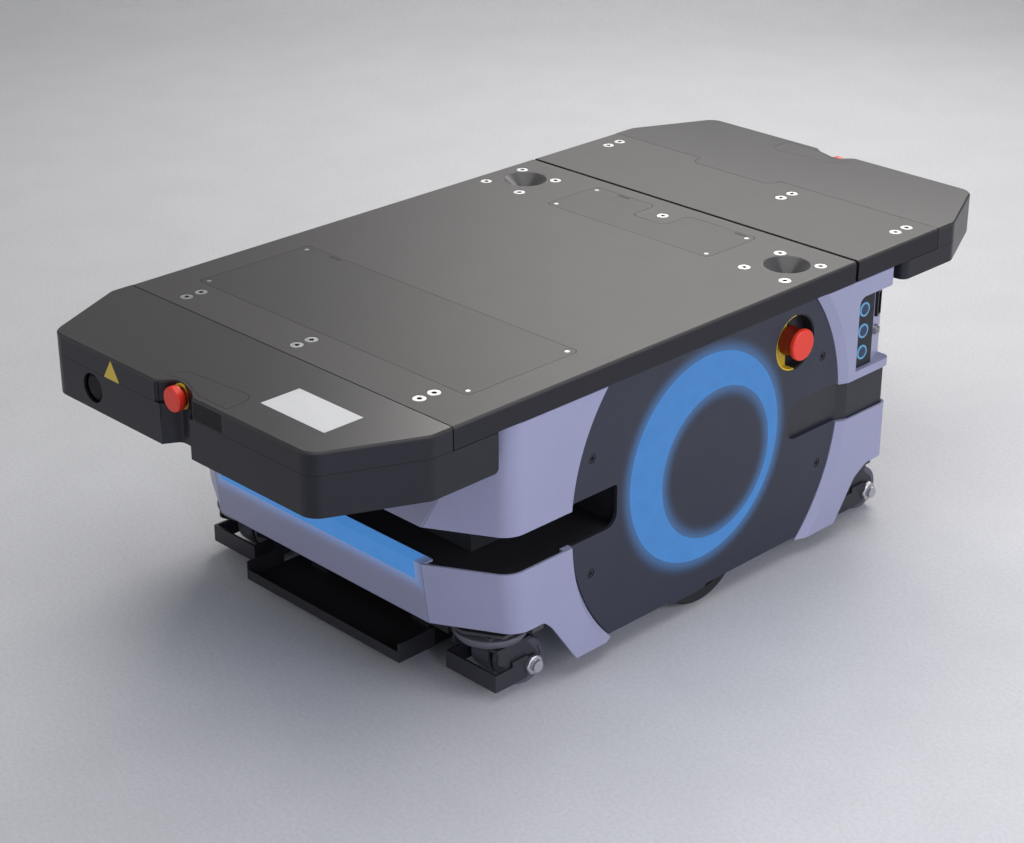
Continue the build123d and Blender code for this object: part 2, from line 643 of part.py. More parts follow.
def laser_scanner():
    housing = block(-52, 52, -486, -414, 154, BAY_FLOOR - 4)
    neck = rod_z(27, 0, SCANNER_Y, BAY_FLOOR - 4, 268)
    groove = rod_z(28, 0, SCANNER_Y, 240, 256) - rod_z(24, 0, SCANNER_Y, 239, 257)
    crown = rod_z(29, 0, SCANNER_Y, 268, 282)
    return housing + (neck - groove) + fillet(crown.edges().filter_by(GeomType.CIRCLE), 3)


# ---- operator panel ------------------------------------------------------------
PLATE_FACE = 355.0


def operator_panel():
    start, fold, floor, low, high = POCKET
    front, rear, bottom, top = start + 3.5, fold - 1.5, low + 1, high - 4
    points = [(front, bottom), (rear, bottom), (rear, top), (front, top)]
    plate = profile(points, [3, 1, 1, POCKET_TURN - 3], floor, PLATE_FACE)
    for z in BUTTON_Z:
        plate -= rod_x(BUTTON_R + 0.3, PLATE_FACE - 1.8, 400, BUTTON_Y, z)
        plate -= rod_x(4 + FIT, 300, 400, BUTTON_Y, z)
    return plate


def button(z):
    cap = rod_x(BUTTON_R, PLATE_FACE, PLATE_FACE + 2.4, BUTTON_Y, z)
    rim = [e for e in cap.edges().filter_by(GeomType.CIRCLE) if e.center().X > PLATE_FACE + 2]
    return fillet(rim, 0.8) + rod_x(4, 338, PLATE_FACE, BUTTON_Y, z)


def button_ring(z):
    outer = rod_x(12.2, PLATE_FACE, PLATE_FACE + 2, BUTTON_Y, z)
    return outer - rod_x(BUTTON_R + 0.3, 300, 400, BUTTON_Y, z)


def panel_connectors():
    start, fold, floor, low, high = POCKET
    end_x, end_y = BACK_SLOPE
    run = sqrt((floor - end_x) ** 2 + (end_y - fold) ** 2)
    along = ((end_x - floor) / run, (end_y - fold) / run, 0)
    wall = Plane(origin=(floor, fold, 0), x_dir=along, z_dir=(along[1], -along[0], 0))
    port = wall * Pos(20, 396, 2.5) * Box(20, 44, 5)
    port -= wall * Pos(20, 396, 4.5) * Box(14, 38, 5)
    round_one = wall * Pos(14, 350, 3) * Cylinder(9, 6)
    round_one += wall * Pos(14, 350, 7) * Cylinder(6, 4)
    return group([port, round_one])


# ---- rear strip, screen, hatches, window ----------------------------------------
def deck_box(y0, y1):
    """Folded sheet deck section with rounded long edges, open underneath."""
    body = block(-DECK_HALF, DECK_HALF, y0, y1, SKIRT_BOTTOM, DECK_TOP)
    body = fillet(side_edges_top(body, DECK_HALF, DECK_TOP), 5)
    return body - block(RIM - DECK_HALF, DECK_HALF - RIM, y0 + RIM, y1 - RIM,
                        SKIRT_BOTTOM - 1, DECK_TOP - PLATE)


def screw_hole(x, y):
    sink = Pos(x, y, DECK_TOP - 3.4) * Cone(6, SCREW_HEAD + 0.3, 6.8)
    return sink + rod_z(4.3, x, y, DECK_TOP - PLATE - 1, DECK_TOP)


def screw(x, y):
    head = Pos(x, y, DECK_TOP - 3.1) * Cone(4.5, SCREW_HEAD - 0.5, 5.4)
    socket = Pos(x, y, DECK_TOP - 3.4) * extrude(RegularPolygon(4.2, 6), 5)
    return head + rod_z(4, x, y, DECK_TOP - 20, DECK_TOP - 5) - socket


def strip_screw_places():
    return [(x, y) for x in (-323, 323) for y in (482.2, 512.5)] + [(83, 481), (83, 510.8)]


def rear_strip_plate():
    strip = deck_box(STRIP_FRONT, STRIP_REAR)
    grown = [(-154.8, 570), (-154.8, 529.6), (-143.4, 518.2), (14.4, 518.2), (27.8, 531.6),
             (27.8, 570)]
    strip -= plan(grown, TAB_RADII, SKIRT_BOTTOM - 1, DECK_TOP + 1)
    for x, y in strip_screw_places():
        strip -= screw_hole(x, y)
    return strip


def strip_beam():
    beam = block(-335, 335, 474, 516, 470, DECK_TOP - PLATE)
    for x, y in strip_screw_places():
        beam -= rod_z(4.2, x, y, 460, 500)
    leg = block(RAIL_IN, RAIL_OUT, 474, 516, RAIL_TOP, 470)
    return [beam, leg, flip(leg)]


def touch_screen():
    x0, x1, y0, y1 = SCREEN
    return block(x0 + 0.4, x1 - 0.4, y0 + 0.4, y1 - 0.4, DECK_TOP - 2, DECK_TOP + 0.2)


def sensor_window():
    x0, x1, z0, z1 = WINDOW
    return block(x0 + 0.4, x1 - 0.4, -HALF_LENGTH, 2 - HALF_LENGTH, z0 + 0.4, z1 - 0.4)


def hatch_lid(sign):
    """Small flush lid beside the stop notch; sign turns it to the other cap."""
    face = offset(outline(HATCH, HATCH_RADII), amount=-0.6)
    lid = extrude(Pos(0, 0, DECK_TOP - 2) * face, 2)
    lid -= plan(NOTCH, NOTCH_RADII, DECK_TOP - 5, DECK_TOP + 5)
    return lid if sign > 0 else turn_about_z(lid, 180, 0, 0)


# ---- lifting deck -----------------------------------------------------------------
FRONT_COVER = (-303.5, 303.5, -468.0, -247.5)
REAR_COVER = (-177.0, 183.0, 172.5, 296.5)
COVER_NOTCH = (-38.5, 34.5, 235.0)
COVER_DEPTH = 3.0


def front_cover_plan(grow):
    x0, x1, y0, y1 = FRONT_COVER
    corners = [(x0 - grow, y0 - grow), (x1 + grow, y0 - grow), (x1 + grow, y1 + grow),
               (x0 - grow, y1 + grow)]
    return plan(corners, [10] * 4, DECK_TOP - COVER_DEPTH, DECK_TOP)


def rear_cover_plan(grow):
    x0, x1, y0, y1 = REAR_COVER
    left, right, deep = COVER_NOTCH
    points = [(x0 - grow, y0 - grow), (x1 + grow, y0 - grow), (x1 + grow, y1 + grow),
              (right - grow, y1 + grow), (right - grow, deep + grow), (left + grow, deep + grow),
              (left + grow, y1 + grow), (x0 - grow, y1 + grow)]
    return plan(points, [10, 10, 10, 14, 12, 12, 14, 10], DECK_TOP - COVER_DEPTH, DECK_TOP)


def cover_screw_places(cover, inset):
    x0, x1, y0, y1 = cover
    return [(x, y) for x in (x0 + inset, x1 - inset) for y in (y0 + inset, y1 - inset)]


def small_screw_places():
    return cover_screw_places(FRONT_COVER, 12) + cover_screw_places(REAR_COVER, 12)


def deck_screw_places():
    places = [(x, y) for x in (-263, 0, 263) for y in (-493.3, -520.8)]
    for side in (-1, 1):
        for dx in (-41, 41):
            for dy in (-44.5, 44.5):
                places.append((side * CUP_X + dx, 226.5 + dy))
    return places + [(2, 269)]


def deck_plate():
    deck = deck_box(DECK_FRONT, DECK_REAR)
    deck -= front_cover_plan(0.7)
    deck -= rear_cover_plan(0.7)
    for x, y in deck_screw_places():
        deck -= screw_hole(x, y)
    for x, y in small_screw_places():
        deck -= rod_z(2.2, x, y, DECK_TOP - PLATE - 1, DECK_TOP)
    for side in (-1, 1):
        deck -= rod_z(CUP_R, side * CUP_X, CUP_Y, DECK_TOP - PLATE - 1, DECK_TOP + 1)
    return deck


def deck_cover(shape, places):
    for x, y in places:
        shape -= rod_z(2.2, x, y, DECK_TOP - 8, DECK_TOP + 1)
        shape -= Pos(x, y, DECK_TOP - 0.7) * Cone(2.2, 4.3, 1.8)
    return shape


def small_screw(x, y):
    head = Pos(x, y, DECK_TOP - 0.9) * Cone(2.0, 3.7, 1.4)
    return head + rod_z(2, x, y, DECK_TOP - PLATE + 0.1, DECK_TOP - 1.5)


def locating_cup(side):
    pen = [(0, DECK_TOP - CUP_DEPTH - 4), (12, DECK_TOP - CUP_DEPTH - 4), (CUP_R, DECK_TOP - 5),
           (CUP_R, DECK_TOP - 0.4), (CUP_R - 1.5, DECK_TOP - 0.4), (9, DECK_TOP - CUP_DEPTH),
           (0, DECK_TOP - CUP_DEPTH)]
    cup = revolve(Plane.XZ * outline(pen, [0, 4, 0, 0, 0, 7, 0]), Axis.Z)
    return Pos(side * CUP_X, CUP_Y, 0) * (cup - rod_z(3, 0, 0, 400, 600))


def lift_frame():
    """Ladder frame under the deck with its guide rods and lift screw."""
    low, high, side_in, side_out, end_x = 458.0, DECK_TOP - PLATE, 205.0, 240.0, 340.0
    beam = block(side_in, side_out, -515, 300, low, high)
    pieces = [beam, flip(beam)]
    for y in (COLUMN_FRONT, ACTUATOR_Y, COLUMN_REAR):
        pieces.append(block(-side_in, side_in, y - 22, y + 22, low, high))
    for y in (-500, 290):
        for x0, x1 in ((-end_x, -side_out), (-side_in, side_in), (side_out, end_x)):
            pieces.append(block(x0, x1, y - 10, y + 10, low + 14, high))
    for x in (-COLUMN_X, COLUMN_X):
        for y in (COLUMN_FRONT, COLUMN_REAR):
            pieces.append(rod_z(ROD_R, x, y, 150, low))
    pieces.append(rod_z(15, 0, ACTUATOR_Y, 150, low))
    for x, y in deck_screw_places():
        pieces = [piece - rod_z(4.6, x, y, DECK_TOP - 22, DECK_TOP) for piece in pieces]
    return group(pieces)


def lift_column(x, y):
    tube = rod_z(20, x, y, FLOOR_TOP, WALL_TOP) + rod_z(23, x, y, FLOOR_TOP, FLOOR_TOP + 8)
    return tube - rod_z(ROD_R + FIT, x, y, 80, WALL_TOP + 1)


def lift_actuator():
    case = rod_z(30, 0, ACTUATOR_Y, FLOOR_TOP, 400)
    gearbox = block(-34, 34, ACTUATOR_Y - 34, ACTUATOR_Y + 34, FLOOR_TOP, 96)
    return case + gearbox - rod_z(15 + FIT, 0, ACTUATOR_Y, 80, 401)


# ---- inside the body ---------------------------------------------------------------
def battery_pack():
    case = block(-126, 126, 70, 380, FLOOR_TOP, 250)
    case = fillet(case.edges().filter_by(Axis.Z), 8)
    handle = block(-60, 60, 205, 245, 250, 272) - block(-48, 48, 200, 250, 250, 262)
    return case + handle


def control_computer():
    case = block(-122, 122, -300, -100, FLOOR_TOP, 190)
    for i in range(9):
        y = -280 + 20 * i
        case -= block(-110, 110, y, y + 8, 182, 191)
    return case


def drive_unit():
    flange = rod_x(48, WALL_X - 14, WALL_X - 4, WHEEL_Y, WHEEL_R)
    gearbox = rod_x(44, 118, WALL_X - 14, WHEEL_Y, WHEEL_R)
    motor = rod_x(38, 48, 118, WHEEL_Y, WHEEL_R)
    return flange + gearbox + motor - rod_x(15 + FIT, 150, 200, WHEEL_Y, WHEEL_R)


def front_tray():
    half = 181.0
    tray = block(-half, half, -498, -330, 26, 29)
    tray += block(-half, half, -498, -495, 26, 43.7)
    for x in (-half, half - 3):
        tray += block(x, x + 3, -498, -425, 26, 57.7)
    for x in (-140, 100):
        tray += block(x, x + 40, -400, -340, 29, FLOOR_LOW)
    return tray


# ---- wheels and casters -------------------------------------------------------------
HUB_R = 80.0


def drive_tyre():
    inner = WHEEL_OUT - WHEEL_WIDTH
    tyre = rod_x(WHEEL_R, inner, WHEEL_OUT, WHEEL_Y, WHEEL_R)
    tyre = fillet(tyre.edges().filter_by(GeomType.CIRCLE), 6)
    return tyre - rod_x(HUB_R, inner - 1, WHEEL_OUT + 1, WHEEL_Y, WHEEL_R)


def drive_hub():
    inner = WHEEL_OUT - WHEEL_WIDTH
    rim = rod_x(HUB_R, inner + 3, WHEEL_OUT - 3, WHEEL_Y, WHEEL_R)
    rim -= rod_x(68, WHEEL_OUT - 15, WHEEL_OUT, WHEEL_Y, WHEEL_R) - rod_x(
        24, WHEEL_OUT - 15, WHEEL_OUT, WHEEL_Y, WHEEL_R)
    shaft = rod_x(15, 160, inner + 3, WHEEL_Y, WHEEL_R)
    for i in range(5):
        angle = 2 * pi * i / 5
        y = WHEEL_Y + 46 * cos(angle)
        z = WHEEL_R + 46 * sin(angle)
        rim -= rod_x(12, inner, WHEEL_OUT, y, z)
    return rim + shaft


def drive_wheel():
    return group([drive_tyre(), drive_hub()])


LEG_IN, LEG_OUT, GUARD_OUT = 44.0, 49.0, 53.0
NUT_R, NUT_THICK, BOLT_END_R = 17.0, 7.0, 9.5


def caster_fork():
    """Swivel fork about a +Z axis at the origin, rolling towards -Y."""
    pen = [(0, 79), (46, 79), (53, 86), (57, 93), (57, CROWN_TOP), (0, CROWN_TOP)]
    crown = revolve(Plane.XZ * outline(pen, [0, 4, 8, 2, 2, 0]), Axis.Z)
    leg = [(-30, 84), (24, 84), (56, 42), (50, 24), (26, 20), (-8, 46), (-32, 60)]
    side = profile(leg, [3, 10, 12, 10, 10, 10, 5], LEG_IN, LEG_OUT)
    skirt = profile([(-34, 84), (34, 84), (34, 79), (-34, 79)], [0] * 4, 30, LEG_OUT)
    guard = block(LEG_OUT, GUARD_OUT, -37, 24, 18, 47)
    nose = block(-GUARD_OUT, GUARD_OUT, -41, -37, 18, 47)
    strap = block(LEG_OUT - 0.5, GUARD_OUT, -6, 26, 30, 56)
    half = side + skirt + guard + strap
    fork = crown + half + flip(half) + nose + rod_z(KINGPIN_R, 0, 0, CROWN_TOP - 1, 110)
    fork -= rod_x(6, -60, 60, TRAIL, CASTER_R)
    return fork


def axle_end():
    """Hexagon nut with the rounded end of the axle bolt standing out of it."""
    hexagon = Pos(TRAIL, CASTER_R) * RegularPolygon(NUT_R, 6)
    nut = extrude(Plane.YZ.offset(GUARD_OUT) * hexagon, NUT_THICK)
    dome = rod_x(NUT_R - 1, GUARD_OUT - NUT_R, GUARD_OUT + NUT_THICK, TRAIL, CASTER_R)
    nut &= fillet(dome.edges().filter_by(GeomType.CIRCLE).sort_by(Axis.X)[-1], 4)
    end = rod_x(BOLT_END_R, GUARD_OUT, GUARD_OUT + NUT_THICK + 6, TRAIL, CASTER_R)
    for step in (1.6, 3.8):
        x = GUARD_OUT + NUT_THICK + step
        end -= rod_x(BOLT_END_R + 1, x, x + 0.8, TRAIL, CASTER_R) - rod_x(
            BOLT_END_R - 0.8, x, x + 0.8, TRAIL, CASTER_R)
    return nut + end


def caster_axle():
    bolt = rod_x(6, -GUARD_OUT - 1, GUARD_OUT + 1, TRAIL, CASTER_R)
    spacer = rod_x(9, LEG_IN - 1.5, LEG_IN, TRAIL, CASTER_R)
    end = axle_end()
    return bolt + end + flip(end) + spacer + flip(spacer)


def caster_wheel():
    """Pair of tread rings on one hub, about the X axis at the axle."""
    wheel = None
    for x0 in (-42.0, 4.0):
        roll = rod_x(CASTER_R, x0, x0 + 38, TRAIL, CASTER_R)
        roll = fillet(roll.edges().filter_by(GeomType.CIRCLE), 4)
        for face in (x0 - 1, x0 + 36):
            dish = rod_x(27, face, face + 3, TRAIL, CASTER_R)
            roll -= dish - rod_x(11, face, face + 3, TRAIL, CASTER_R)
        wheel = roll if wheel is None else wheel + roll
    wheel += rod_x(16, -5, 5, TRAIL, CASTER_R)
    return wheel - rod_x(6 + FIT, -60, 60, TRAIL, CASTER_R)


# ---- stops --------------------------------------------------------------------------
CAP_COLLAR_FACE = 722.2
CAP_HEAD_THICK = 13.0
SIDE_HEAD_R, CAP_HEAD_R, STEM_R = 26.0, 18.7, 9.0
NECK_IN_R, NECK_OUT_R = 20.0, 25.0


def stop_collars():
    side = stop_collar(STOP_POCKET, STOP_POCKET - 2, STEM_R + FIT, 22, 0.5)
    cap = stop_collar(CAP_COLLAR_R, 15, STEM_R + FIT, 26, 0.5)
    left = to_left(side, SIDE_COLLAR_FACE)
    front = Pos(HEAD_X, -CAP_COLLAR_FACE, HEAD_Z) * Rot(90, 0, 0) * cap
    rear = Pos(-HEAD_X, CAP_COLLAR_FACE, HEAD_Z) * Rot(-90, 0, 0) * cap
    return group([left, flip(left), front, rear])


def stops():
    side = to_left(side_stop_head(), SIDE_STOP_FACE)
    head = stop_head(CAP_HEAD_R, CAP_HEAD_THICK, STEM_R, 52)
    return {
        "left_stop_button": side,
        "right_stop_button": flip(side),
        "front_stop_button": Pos(HEAD_X, HEAD_FACE, HEAD_Z) * Rot(90, 0, 0) * head,
        "rear_stop_button": Pos(-HEAD_X, -HEAD_FACE, HEAD_Z) * Rot(-90, 0, 0) * head,
    }


# ---- write every piece --------------------------------------------------------------
left_panel = side_panel()
left_ring = ring_shape(PANEL_FACE - RING_DEPTH, PANEL_FACE + 0.3, 0)
left_screws = panel_screws_one_side()
left_wheel = drive_wheel()
left_drive = drive_unit()

save("chassis_frame", chassis_frame())
save("side_panel_left", left_panel)
save("side_panel_right", flip(left_panel))
save("light_rings", corner_halves(left_ring))
save("front_lower_shell", front_lower_shell())
save("front_lower_corners", corner_halves(front_lower_corner()))
save("front_upper_shell", front_upper_shell())
save("front_upper_corners", corner_halves(front_upper_corner()))
save("front_light_strip", light_strip_shape(0))
save("scanner_bay", scanner_bay())
save("laser_scanner", laser_scanner())
save("rear_upper_corner_left", rear_upper_corner(True))
save("rear_upper_corner_right", flip(rear_upper_corner(False)))
save("rear_lower_corners", corner_halves(rear_lower_corner()))
save("rear_centre_covers", rear_centre_cover())
save("rear_mid_band", rear_mid_band())
save("operator_panel", operator_panel())
save("button_rings", group([button_ring(z) for z in BUTTON_Z]))
save("panel_connectors", panel_connectors())
save("front_tray", front_tray())
save("front_cap_upper", front_cap_upper())
save("front_cap_lower", front_cap_lower())
save("rear_cap_upper", rear_cap_upper())
save("rear_cap_lower", rear_cap_lower())
save("touch_screen", touch_screen())
save("sensor_window", sensor_window())
save("service_hatches", group([hatch_lid(1), hatch_lid(-1)]))
save("cap_sensor", cap_sensors())
save("rear_strip_plate", rear_strip_plate())
save("strip_screws", group([screw(x, y) for x, y in strip_screw_places()]))
save("panel_screws", group(left_screws + [flip(s) for s in left_screws]))
save("stop_collars", stop_collars())
save("battery_pack", battery_pack())
save("control_computer", control_computer())
save("drive_units", corner_halves(left_drive))
columns = [(x, y) for x in (-COLUMN_X, COLUMN_X) for y in (COLUMN_FRONT, COLUMN_REAR)]
save("lift_columns", group([lift_column(x, y) for x, y in columns]))
save("lift_actuator", lift_actuator())
save("deck_plate", deck_plate())
save("front_deck_cover", deck_cover(front_cover_plan(0), cover_screw_places(FRONT_COVER, 12)))
save("rear_deck_cover", deck_cover(rear_cover_plan(0), cover_screw_places(REAR_COVER, 12)))
save("locating_cups", group([locating_cup(-1), locating_cup(1)]))
deck_screws = [screw(x, y) for x, y in deck_screw_places()]
save("deck_screws", group(deck_screws + [small_screw(x, y) for x, y in small_screw_places()]))
save("lift_frame", lift_frame())
save("drive_wheel_left", left_wheel)
save("drive_wheel_right", flip(left_wheel))
for name, (x, y) in CASTERS.items():
    place = Pos(x, y, 0)
    save(name + "_caster_fork", group([place * caster_fork(), place * caster_axle()]))
    save(name + "_caster_wheel", place * caster_wheel())
for name, head in stops().items():
    save(name, head)
for name, z in zip(("upper", "middle", "lower"), BUTTON_Z):
    save(name + "_panel_button", button(z))
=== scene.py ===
"""Looks of the low mobile robot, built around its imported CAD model."""
from math import cos, radians, sin

import bmesh
import bpy
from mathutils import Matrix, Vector


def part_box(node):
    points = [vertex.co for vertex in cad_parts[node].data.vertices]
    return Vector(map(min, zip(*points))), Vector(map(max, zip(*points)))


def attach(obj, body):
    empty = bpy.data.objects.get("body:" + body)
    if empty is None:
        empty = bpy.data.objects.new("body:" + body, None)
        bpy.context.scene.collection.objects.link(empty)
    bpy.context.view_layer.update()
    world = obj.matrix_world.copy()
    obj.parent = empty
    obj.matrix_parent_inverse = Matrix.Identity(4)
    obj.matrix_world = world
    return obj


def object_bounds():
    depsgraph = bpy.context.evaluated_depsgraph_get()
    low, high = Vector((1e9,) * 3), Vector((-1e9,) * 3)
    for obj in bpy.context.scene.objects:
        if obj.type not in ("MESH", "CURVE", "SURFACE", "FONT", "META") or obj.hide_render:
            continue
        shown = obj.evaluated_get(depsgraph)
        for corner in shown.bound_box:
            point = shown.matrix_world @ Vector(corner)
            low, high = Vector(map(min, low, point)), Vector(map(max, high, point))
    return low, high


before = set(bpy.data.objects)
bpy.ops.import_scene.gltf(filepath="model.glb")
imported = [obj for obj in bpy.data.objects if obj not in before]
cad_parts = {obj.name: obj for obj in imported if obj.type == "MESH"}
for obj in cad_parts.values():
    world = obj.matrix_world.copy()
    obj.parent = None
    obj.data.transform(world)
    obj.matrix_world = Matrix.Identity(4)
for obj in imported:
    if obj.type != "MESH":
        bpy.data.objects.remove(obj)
cad_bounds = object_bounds()

DECK_TOP = cad_bounds[1][2]
NOSE_Y = cad_bounds[0][1]
RING_LOW, RING_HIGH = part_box("light_rings")
RING_Y = (RING_LOW.y + RING_HIGH.y) / 2
RING_Z = (RING_LOW.z + RING_HIGH.z) / 2
RING_R = (RING_HIGH.z - RING_LOW.z) / 2
# The ring's hole is off centre: its middle and its radius.
RING_IN_Y, RING_IN_Z, RING_IN_R = 0.0095, 0.2461, 0.1248
STRIP_LOW, STRIP_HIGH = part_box("front_light_strip")

# Pairs are the two ends of a soft edge between two tones.
SIDE_SHADE_BAND = (0.006, 0.001)          # below the deck top: painted shade on the sides, top face clear
SPILL_REACH = 0.030                 # how far blue light spills from a lit edge
NECK_SHADE_BAND = (0.0098, 0.0094)        # behind a side stop's face: painted shade on the neck
SIDE_STOP_BAND = (0.060, 0.059)     # behind a side stop's face, leaves out the other stops
SIDE_COLLAR_BAND = (0.300, 0.301)   # out from the middle, leaves out the end collars
SOCKET_SHADE_BAND = (0.0022, 0.0008)      # below the top of a deck screw: painted shade in the sockets
NUT_BAND = (0.0130, 0.0129)         # in from the ends of a caster fork's bolt
NUTS_BELOW = (0.060, 0.061)         # heights between the nuts and the swivel crown
CROWN_BAND = (0.0845, 0.086)        # heights where the swivel crown starts
PORT_LOW = 0.368                    # the black port sits above this height

BLUE = (0.061, 0.219, 0.543, 1.0)
BLACK_PLASTIC = (0.012, 0.012, 0.013, 1)


# ---- material tools ---------------------------------------------------------
class Look:
    """A node material that reads the piece's own coordinates, in metres."""

    def __init__(self, name, roughness=0.5, metallic=0.0, specular=0.5):
        self.material = bpy.data.materials.new(name)
        self.material.use_nodes = True
        self.tree = self.material.node_tree
        self.shader = self.tree.nodes["Principled BSDF"]
        self.place = self.tree.nodes.new("ShaderNodeTexCoord").outputs["Object"]
        self.shader.inputs["Roughness"].default_value = roughness
        self.shader.inputs["Metallic"].default_value = metallic
        self.shader.inputs["Specular IOR Level"].default_value = specular

    def feed(self, socket, value):
        if isinstance(value, bpy.types.NodeSocket):
            self.tree.links.new(value, socket)
        else:
            socket.default_value = value

    def math(self, operation, a, b=0.0):
        node = self.tree.nodes.new("ShaderNodeMath")
        node.operation = operation
        self.feed(node.inputs[0], a)
        self.feed(node.inputs[1], b)
        return node.outputs[0]

    def noise(self, size, detail=3.0, stretch=(1, 1, 1)):
        """Noise whose features are about `size` metres across."""
        scaled = self.tree.nodes.new("ShaderNodeMapping")
        self.feed(scaled.inputs["Vector"], self.place)
        scaled.inputs["Scale"].default_value = [1 / (size * s) for s in stretch]
        node = self.tree.nodes.new("ShaderNodeTexNoise")
        node.inputs["Scale"].default_value = 1.0
        node.inputs["Detail"].default_value = detail
        self.feed(node.inputs["Vector"], scaled.outputs[0])
        return node.outputs["Fac"]

    def remap(self, value, low, high, to_low, to_high):
        node = self.tree.nodes.new("ShaderNodeMapRange")
        node.interpolation_type = "SMOOTHSTEP"
        sockets = ("From Min", "From Max", "To Min", "To Max")
        for socket, number in zip(sockets, (low, high, to_low, to_high)):
            node.inputs[socket].default_value = number
        self.feed(node.inputs["Value"], value)
        return node.outputs["Result"]

    def mix(self, amount, a, b):
        node = self.tree.nodes.new("ShaderNodeMix")
        node.data_type = "RGBA"
        self.feed(node.inputs[0], amount)
        self.feed(node.inputs[6], a)
        self.feed(node.inputs[7], b)
        return node.outputs[2]

    def axis(self, letter):
        node = self.tree.nodes.new("ShaderNodeSeparateXYZ")
        self.feed(node.inputs[0], self.place)
        return node.outputs[letter]

    def distance_in_side(self, y, z):
        """Distance from an axis along X through (y, z)."""
        dy = self.math("SUBTRACT", self.axis("Y"), y)
        dz = self.math("SUBTRACT", self.axis("Z"), z)
        squares = self.math("ADD", self.math("MULTIPLY", dy, dy), self.math("MULTIPLY", dz, dz))
        return self.math("SQRT", squares)

    def bump(self, height, strength, depth):
        """Raise the surface by `depth` metres times the height, on top of what is there."""
        node = self.tree.nodes.new("ShaderNodeBump")
        node.inputs["Strength"].default_value = strength
        node.inputs["Distance"].default_value = depth
        self.feed(node.inputs["Height"], height)
        under = self.shader.inputs["Normal"]
        if under.is_linked:
            self.feed(node.inputs["Normal"], under.links[0].from_socket)
        self.feed(under, node.outputs["Normal"])

    def colour(self, value):
        self.feed(self.shader.inputs["Base Color"], value)

    def roughness(self, value):
        self.feed(self.shader.inputs["Roughness"], value)

    def glow(self, value):
        self.feed(self.shader.inputs["Emission Color"], value)
        self.shader.inputs["Emission Strength"].default_value = 1.0


def shade(colour, factor):
    return (colour[0] * factor, colour[1] * factor, colour[2] * factor, 1.0)


def moulded(name, colour, roughness, grain=0.0009, depth=0.00004, tone=0.05, specular=0.5,
            smudges=1.0):
    """Textured plastic or powder coat: even tone, fine grain, faint handling marks."""
    look = Look(name, roughness=roughness, specular=specular)
    clouds = look.noise(0.16, detail=4.0)
    speckle = look.noise(grain * 1.6, detail=1.0)
    clouds = look.remap(clouds, 0.3, 0.7, 0, 1)
    base = look.mix(clouds, shade(colour, 1 - tone), shade(colour, 1 + tone))
    base = look.mix(look.remap(speckle, 0.25, 0.75, 0, 0.30), base, shade(colour, 0.72))
    marks = look.noise(0.02, detail=5.0, stretch=(6, 1, 1))
    marks = look.remap(marks, 0.68, 0.82, 0, 0.05)
    look.colour(look.mix(marks, base, shade(colour, 1.8)))
    smudge = look.noise(0.07, detail=3.0)
    smoothest, roughest = roughness - 0.02 * smudges, roughness + 0.03 * smudges
    look.roughness(look.remap(smudge, 0.3, 0.75, smoothest, roughest))
    look.bump(look.noise(grain, detail=2.0), 0.55, depth)
    return look


def metal(name, colour, roughness):
    """Bare or plated metal: faint tarnish and a fine grain."""
    look = Look(name, roughness=roughness, metallic=1.0)
    tarnish = look.noise(0.012, detail=4.0)
    tarnish = look.remap(tarnish, 0.35, 0.7, 0, 1)
    look.colour(look.mix(tarnish, shade(colour, 1.05), shade(colour, 0.78)))
    grain = look.noise(0.0006, detail=2.0)
    look.roughness(look.remap(grain, 0.3, 0.7, roughness - 0.07, roughness + 0.1))
    look.bump(grain, 0.35, 0.00002)
    return look


# ---- looks -------------------------------------------------------------------
def deck_look(name, tone, side, roughness=0.46):
    """Powder coat of the deck and caps, with painted shade on the sides that hang below the top
    face.
    """
    look = moulded(name, (0.054 * tone, 0.050 * tone, 0.048 * tone), roughness,
                   grain=0.0011, depth=0.00003, tone=0.02, smudges=0.25, specular=0.35)
    base = look.shader.inputs["Base Color"].links[0].from_socket
    # Painted shade: the sides below the top face take the darker colour.
    below = look.remap(look.axis("Z"), DECK_TOP - SIDE_SHADE_BAND[0], DECK_TOP - SIDE_SHADE_BAND[1], 1, 0)
    look.colour(look.mix(below, base, side))
    return look.material


def glow_falloff(look, distance, reach, peak):
    """Blue spill that fades away from a lit edge."""
    near = look.remap(distance, 0.0, reach, 1, 0)
    strength = look.math("MULTIPLY", look.math("MULTIPLY", near, near), peak)
    return look.mix(strength, (0, 0, 0, 1), BLUE)


def panel_look():
    """Slate side panel with blue spill on both sides of its ring light."""
    look = moulded("panel_slate", (0.020, 0.024, 0.040), 0.46, grain=0.0008, depth=0.00003)
    outside = look.math("SUBTRACT", look.distance_in_side(RING_Y, RING_Z), RING_R)
    inside = look.math("SUBTRACT", RING_IN_R, look.distance_in_side(RING_IN_Y, RING_IN_Z))
    edge = look.math("MAXIMUM", outside, inside)
    look.glow(glow_falloff(look, edge, SPILL_REACH, 0.42))
    return look.material


def shell_look(name, lit):
    """Pale body moulding; a lit one has blue spill around the light strip."""
    look = moulded(name, (0.33, 0.335, 0.47), 0.36, grain=0.0007, depth=0.000012, tone=0.03)
    if lit:
        below = look.math("SUBTRACT", STRIP_LOW.z, look.axis("Z"))
        beside = look.math("SUBTRACT", look.math("ABSOLUTE", look.axis("X")), STRIP_HIGH.x)
        edge = look.math("MAXIMUM", below, beside)
        edge = look.math("MAXIMUM", edge, 0.0)
        look.glow(glow_falloff(look, edge, SPILL_REACH, 0.40))
    return look.material


def light_look():
    """Even blue diffuser with a trace of unevenness."""
    look = Look("blue_light", roughness=0.5, specular=0.2)
    look.colour((0.004, 0.012, 0.03, 1))
    ripple = look.noise(0.03, detail=2.0)
    look.glow(look.mix(look.remap(ripple, 0.3, 0.7, 0, 1), shade(BLUE, 0.92), shade(BLUE, 0.97)))
    return look.material


